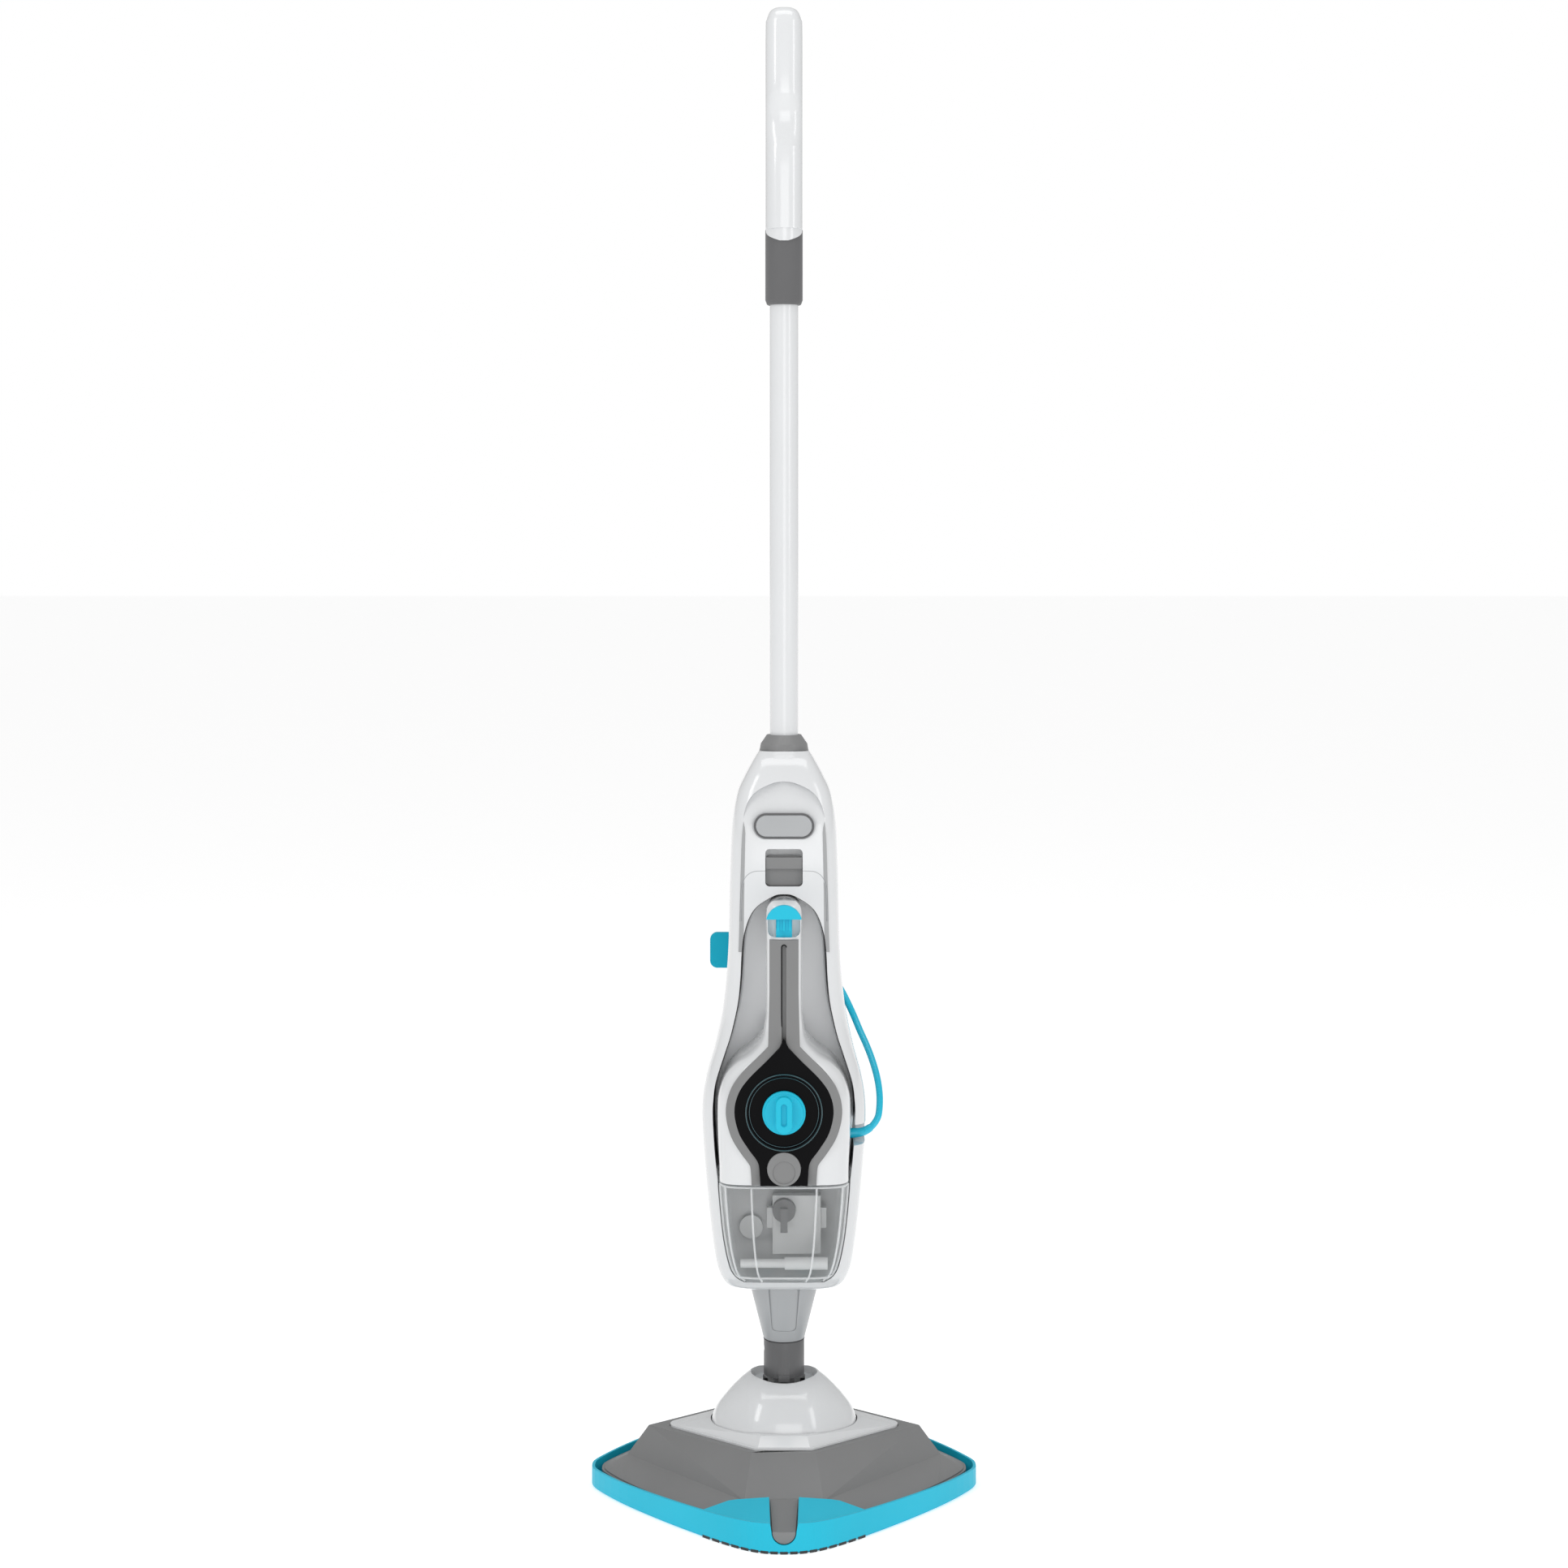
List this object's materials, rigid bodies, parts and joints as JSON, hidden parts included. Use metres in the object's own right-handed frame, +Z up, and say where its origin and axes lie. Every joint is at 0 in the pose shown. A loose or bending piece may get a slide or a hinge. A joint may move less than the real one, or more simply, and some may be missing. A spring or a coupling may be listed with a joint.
{
  "type": "steam mop",
  "caption": "Upright steam mop with a lift-out handheld steamer, clear water tank, tilting swivel head, cord hooks and a carpet glider.",
  "frame": {"origin": "on the floor under the middle of the head", "axes": "+Z up along the upright handle, -Y towards the front, +X to the right seen from the front"},
  "size_m": [0.304, 0.32, 1.17],
  "materials": {
    "turquoise_plastic": "satin",
    "hook_plastic": "gloss",
    "cord_sheath": "satin",
    "microfibre": "looped pile",
    "grey_plastic": "fine texture",
    "white_gloss": "gloss",
    "dark_plastic": "satin",
    "black_plastic": "matte",
    "steel": "zinc plated",
    "brass": "polished",
    "silver_plastic": "satin",
    "panel_plastic": "satin",
    "seal_rubber": "matte",
    "hose_rubber": "satin",
    "pole_paint": "gloss",
    "soft_grey": "soft touch",
    "black_gloss": "high gloss",
    "boiler_metal": "cast",
    "pale_plastic": "satin",
    "clear_plastic": "clear"
  },
  "bodies": {
    "floor_head": {"carpet_glider": "turquoise_plastic", "microfibre_pad": "microfibre", "sole_plate": "grey_plastic", "head_base": "grey_plastic", "head_top_plate": "white_gloss", "trunnion_caps": "dark_plastic", "steam_nozzle": "black_plastic", "head_screws": "steel"},
    "tilt_dome": {"swivel_dome": "white_gloss", "swivel_pin": "steel"},
    "mop_body": {"swivel_yoke": "dark_plastic", "neck_tube": "dark_plastic", "cone_neck": "silver_plastic", "back_shell": "white_gloss", "front_frame": "white_gloss", "docking_bay": "panel_plastic", "badge_plate": "silver_plastic", "steam_socket": "dark_plastic", "socket_seal": "seal_rubber", "body_steam_pipe": "hose_rubber", "latch_spring": "steel", "lower_cord_hook": "hook_plastic", "pole_collar": "grey_plastic", "pole_tube": "pole_paint", "grip_sleeve": "soft_grey", "grip_front_shell": "white_gloss", "grip_rear_shell": "white_gloss", "rear_screws": "steel", "cord_lead": "cord_sheath", "cord_hank": "cord_sheath", "cord_tail": "cord_sheath", "plug": "cord_sheath", "plug_pins": "brass"},
    "latch": {"unit_latch": "grey_plastic"},
    "cord_hook": {"upper_cord_hook": "hook_plastic"},
    "handheld_unit": {"unit_left_shell": "white_gloss", "unit_right_shell": "white_gloss", "handle_insert": "soft_grey", "fascia": "black_gloss", "dial_ring": "black_gloss", "boiler": "boiler_metal", "pump": "black_plastic", "thermostat": "pale_plastic", "steam_spout": "black_plastic", "feed_hose": "hose_rubber", "trigger_switch": "black_plastic", "cord_gland": "black_plastic", "tank_seat": "dark_plastic", "unit_screws": "steel", "trigger_spring": "steel", "button_spring": "steel"},
    "steam_trigger": {"trigger": "turquoise_plastic"},
    "steam_dial": {"dial_knob": "turquoise_plastic"},
    "release_button": {"tank_button": "grey_plastic"},
    "water_tank": {"tank_shell": "clear_plastic", "tank_valve": "dark_plastic", "filter_cartridge": "pale_plastic", "pickup_tube": "pale_plastic", "filler_cap": "pale_plastic"}
  },
  "joints": [
    {"name": "handle_tilt", "type": "hinge", "parent": "floor_head", "child": "tilt_dome", "pos_m": [0, 0, 0.044], "axis": [-1, 0, 0], "range_deg": [0, 55]},
    {"name": "handle_swivel", "type": "hinge", "parent": "tilt_dome", "child": "mop_body", "pos_m": [0, 0, 0.044], "axis": [0, 1, 0], "range_deg": [-10, 10]},
    {"name": "latch_slide", "type": "slide", "parent": "mop_body", "child": "latch", "axis": [0, 0, 1], "range_m": [0, 0.005], "stiffness_N_per_m": 250, "deforming": ["latch_spring"]},
    {"name": "cord_hook_turn", "type": "hinge", "parent": "mop_body", "child": "cord_hook", "pos_m": [0, 0.05, 0.412], "axis": [0, 1, 0], "range_deg": [-90, 90]},
    {"name": "unit_dock", "type": "slide", "parent": "mop_body", "child": "handheld_unit", "axis": [0, -1, 0], "range_m": [0, 0.15]},
    {"name": "trigger_press", "type": "slide", "parent": "handheld_unit", "child": "steam_trigger", "axis": [0, 0, -1], "range_m": [0, 0.005], "stiffness_N_per_m": 400, "deforming": ["trigger_spring"]},
    {"name": "dial_turn", "type": "hinge", "parent": "handheld_unit", "child": "steam_dial", "pos_m": [0, -0.07, 0.3095], "axis": [0, 1, 0], "range_deg": [0, 135]},
    {"name": "button_press", "type": "slide", "parent": "handheld_unit", "child": "release_button", "axis": [0, 1, 0], "range_m": [0, 0.003], "stiffness_N_per_m": 500, "deforming": ["button_spring"]},
    {"name": "tank_release", "type": "slide", "parent": "handheld_unit", "child": "water_tank", "axis": [0, -1, 0], "range_m": [0, 0.12]}
  ]
}
